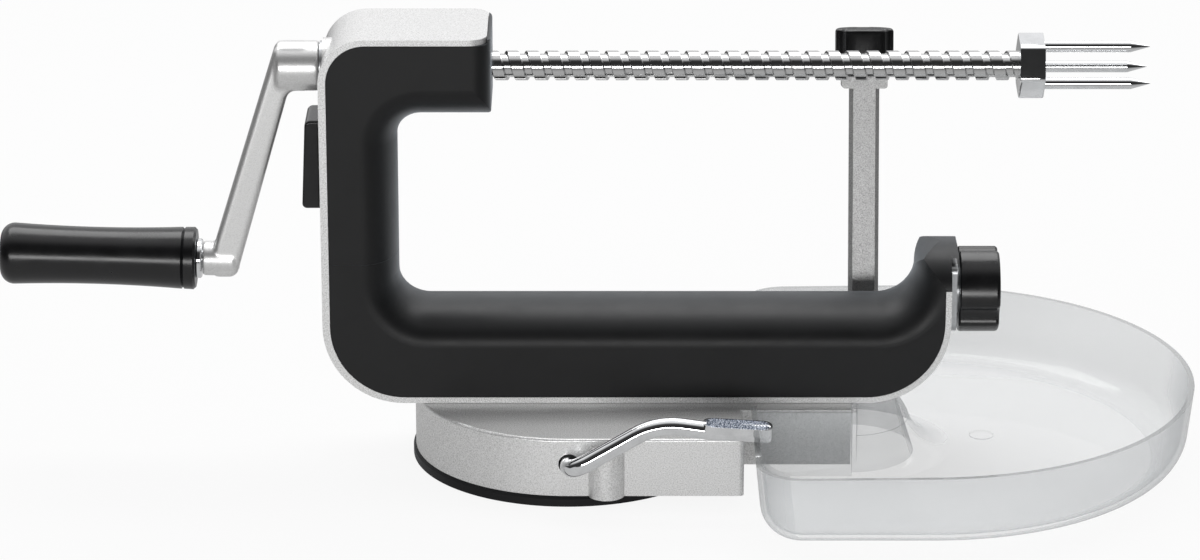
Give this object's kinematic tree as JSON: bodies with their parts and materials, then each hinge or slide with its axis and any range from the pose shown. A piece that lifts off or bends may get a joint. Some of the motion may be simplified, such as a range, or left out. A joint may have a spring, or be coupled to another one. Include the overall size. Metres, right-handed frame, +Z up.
{
  "type": "spiralizer with crank",
  "caption": "Hand cranked vegetable spiralizer: C-shaped frame on a suction base, lead screw with a pronged fork, clear catching bowl.",
  "frame": {"origin": "centre of the suction pad's underside, on the table", "axes": "+X along the lead screw towards the fork, +Y away from the suction lever's side, +Z up"},
  "size_m": [0.3882, 0.1784, 0.1452],
  "materials": {
    "casting": "silver paint with a fine dark and light speckle, satin",
    "crank": "smooth silver paint on a casting, satin",
    "grip": "black soft-touch cover, satin",
    "screw_steel": "bright cut thread",
    "bright": "polished chrome plating",
    "steel": "plain steel",
    "spring_steel": "drawn spring wire",
    "black_plastic": "moulded black plastic, semi gloss",
    "rubber": "matt black rubber",
    "clear_plastic": "clear moulded plastic, glossy",
    "bronze": "plain bearing bronze",
    "arm_grey": "grey paint, satin"
  },
  "bodies": {
    "frame": {"frame_casting": "casting", "upper_grip": "grip", "lower_grip": "grip", "front_bush": "bronze", "rear_bush": "bronze", "base_housing": "casting", "suction_cup": "rubber", "base_screws": "steel", "grip_screws": "steel", "arm_pivot_pin": "steel", "pivot_clip": "steel", "arm_spring": "spring_steel", "release_spring": "spring_steel"},
    "feed_washer": {"stop_washer": "steel"},
    "screw": {"lead_screw": "screw_steel", "crank_arm": "crank", "set_screws": "steel", "fork_hub": "bright", "fork_tines": "bright", "handle_spindle": "steel", "spindle_ferrule": "bright"},
    "handle": {"handle_grip": "black_plastic"},
    "release": {"release_slider": "black_plastic", "half_nut": "bronze"},
    "lever": {"lever": "bright", "lever_clip": "steel"},
    "stem": {"suction_stem": "steel"},
    "arm": {"peeler_arm": "arm_grey"},
    "arm_clamp": {"arm_washer": "steel"},
    "arm_knob": {"arm_knob": "black_plastic", "arm_stud": "steel"},
    "clamp_jaw": {"clamp_plate": "steel", "clamp_washer": "steel"},
    "clamp_knob": {"clamp_knob": "black_plastic", "clamp_stud": "steel"},
    "bowl": {"bowl": "clear_plastic"}
  },
  "joints": [
    {"name": "screw_feed", "type": "slide", "parent": "frame", "child": "feed_washer", "axis": [1, 0, 0], "range_m": [-0.1601, 0]},
    {"name": "crank_turn", "type": "hinge", "parent": "feed_washer", "child": "screw", "pos_m": [0, 0, 0.1315], "axis": [1, 0, 0], "range_deg": [-9000, 0]},
    {"name": "handle_spin", "type": "hinge", "parent": "screw", "child": "handle", "pos_m": [-0.1204, 0, 0.0662], "axis": [-0.9996, 0, 0.0297], "continuous": true},
    {"name": "release_press", "type": "slide", "parent": "frame", "child": "release", "axis": [0, 0, 1], "range_m": [-0.004, 0], "stiffness_N_per_m": 400, "springref_m": 0.006, "deforming": ["release_spring"]},
    {"name": "lever_swing", "type": "hinge", "parent": "frame", "child": "lever", "pos_m": [0.0005, 0, 0.0143], "axis": [0, 1, 0], "range_deg": [-150, 0]},
    {"name": "stem_lift", "type": "slide", "parent": "frame", "child": "stem", "axis": [0, 0, 1], "range_m": [0, 0.00242]},
    {"name": "arm_tilt", "type": "hinge", "parent": "frame", "child": "arm", "pos_m": [0.0974, 0.024, 0.034], "axis": [1, 0, 0], "range_deg": [-35, 0], "stiffness_Nm_per_rad": 0.08, "springref_deg": 40.11},
    {"name": "arm_clamp_slide", "type": "slide", "parent": "arm", "child": "arm_clamp", "axis": [0, 0.2334, 0.9724], "range_m": [0, 0.0021]},
    {"name": "arm_knob_turn", "type": "hinge", "parent": "arm_clamp", "child": "arm_knob", "pos_m": [0.0974, 0.04394, 0.11704], "axis": [0, 0.2334, 0.9724], "range_deg": [0, 1081]},
    {"name": "clamp_slide", "type": "slide", "parent": "frame", "child": "clamp_jaw", "axis": [1, 0, 0], "range_m": [0, 0.0024]},
    {"name": "clamp_knob_turn", "type": "hinge", "parent": "clamp_jaw", "child": "clamp_knob", "pos_m": [0.1264, 0, 0.0558], "axis": [1, 0, 0], "range_deg": [0, 1081]},
    {"name": "bowl_slide", "type": "slide", "parent": "frame", "child": "bowl", "axis": [1, 0, 0], "range_m": [0, 0.045]}
  ],
  "couplings": [
    {"joint": "screw_feed", "follows": "crank_turn", "m_per_rad": 0.0010186},
    {"joint": "stem_lift", "follows": "lever_swing", "m_per_rad": -0.00092246},
    {"joint": "arm_knob_turn", "follows": "arm_clamp_slide", "rad_per_m": 8976},
    {"joint": "clamp_knob_turn", "follows": "clamp_slide", "rad_per_m": 7854}
  ]
}
